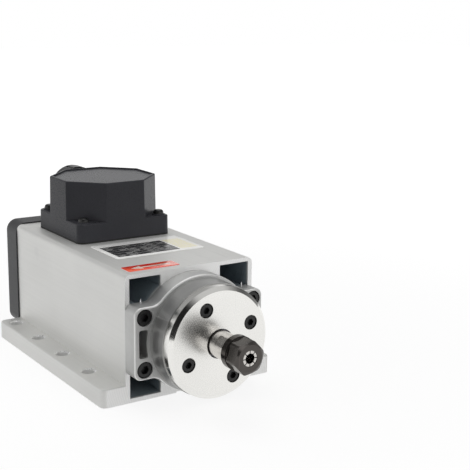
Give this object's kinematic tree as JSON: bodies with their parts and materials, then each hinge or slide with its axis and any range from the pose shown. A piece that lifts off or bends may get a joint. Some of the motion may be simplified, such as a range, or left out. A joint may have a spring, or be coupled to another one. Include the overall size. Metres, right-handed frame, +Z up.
{
  "type": "motor spindle",
  "caption": "Air-cooled square motor spindle with a slotted collet nose, foot mounting, terminal box, cable gland and covered cooling fan.",
  "frame": {"origin": "centre of the foot-bolt pattern, on the mounting face", "axes": "+X right seen from the fan end towards the nose's left, +Y towards the fan end, +Z up from the mounting face; the collet points along -Y"},
  "size_m": [0.125, 0.2516, 0.1222],
  "materials": {
    "housing_aluminium": "satin, bead-blasted extrusion",
    "cast_shield": "fine cast, painted silver grey",
    "machined_aluminium": "turned, bright",
    "black_oxide": "black oxide, oiled",
    "ground_steel": "ground and polished",
    "collet_steel": "ground, bright",
    "bearing_steel": "polished bearing steel",
    "cage_plastic": "moulded phenolic",
    "silicon_steel": "laminated electrical steel",
    "copper_winding": "enamelled wire, varnished",
    "bracket_aluminium": "cast, machined seats",
    "spring_steel": "hardened spring steel",
    "cover_plastic": "moulded, fine grain",
    "box_plastic": "moulded, fine grain",
    "gland_plastic": "moulded nylon",
    "fan_plastic": "moulded nylon",
    "seal_rubber": "moulded rubber",
    "block_plastic": "moulded, ivory",
    "terminal_brass": "plated brass"
  },
  "bodies": {
    "housing": {"motor_housing": "housing_aluminium", "stator_core": "silicon_steel", "stator_windings": "copper_winding", "front_end_shield": "cast_shield", "end_shield_screws": "black_oxide", "front_flange_cover": "machined_aluminium", "flange_cover_screws": "black_oxide", "front_outer_spacer": "bearing_steel", "front_bearing_outer_rings": "bearing_steel", "rear_bearing_bracket": "bracket_aluminium", "rear_bracket_screws": "black_oxide", "preload_spring": "spring_steel", "rear_bearing_outer_ring": "bearing_steel", "fan_cover": "cover_plastic", "fan_cover_screws": "black_oxide", "terminal_box": "box_plastic", "box_gasket": "seal_rubber", "box_screws": "black_oxide", "terminal_block": "block_plastic", "terminal_screws": "terminal_brass", "gland_body": "gland_plastic", "gland_locknut": "gland_plastic", "gland_seal": "seal_rubber", "gland_cap": "gland_plastic"},
    "spindle": {"spindle_shaft": "ground_steel", "bearing_locknut": "black_oxide", "front_inner_spacer": "bearing_steel", "front_bearing_inner_rings": "bearing_steel", "rear_bearing_inner_ring": "bearing_steel", "rotor_core": "silicon_steel", "rotor_end_rings": "bracket_aluminium", "cooling_fan": "fan_plastic", "fan_clip": "spring_steel"},
    "front_ball_train": {"front_bearing_cages": "cage_plastic", "front_bearing_balls": "bearing_steel"},
    "rear_ball_train": {"rear_bearing_cage": "cage_plastic", "rear_bearing_balls": "bearing_steel"},
    "collet_body": {"collet": "collet_steel"},
    "nut_body": {"collet_nut": "black_oxide"}
  },
  "joints": [
    {"name": "spindle_spin", "type": "hinge", "parent": "housing", "child": "spindle", "pos_m": [0, 0, 0.041], "axis": [0, -1, 0], "continuous": true},
    {"name": "front_balls_orbit", "type": "hinge", "parent": "housing", "child": "front_ball_train", "pos_m": [0, -0.10905, 0.041], "axis": [0, -1, 0], "continuous": true},
    {"name": "rear_balls_orbit", "type": "hinge", "parent": "housing", "child": "rear_ball_train", "pos_m": [0, 0.06215, 0.041], "axis": [0, -1, 0], "continuous": true},
    {"name": "collet_draw", "type": "slide", "parent": "spindle", "child": "collet_body", "axis": [0, -1, 0], "range_m": [0, 0.006]},
    {"name": "nut_turn", "type": "hinge", "parent": "collet_body", "child": "nut_body", "pos_m": [0, -0.15405, 0.041], "axis": [0, -1, 0], "range_deg": [0, 2880.01]}
  ],
  "couplings": [
    {"joint": "front_balls_orbit", "follows": "spindle_spin", "ratio": 0.4085},
    {"joint": "rear_balls_orbit", "follows": "spindle_spin", "ratio": 0.3987},
    {"joint": "nut_turn", "follows": "collet_draw", "rad_per_m": 8377.6}
  ]
}
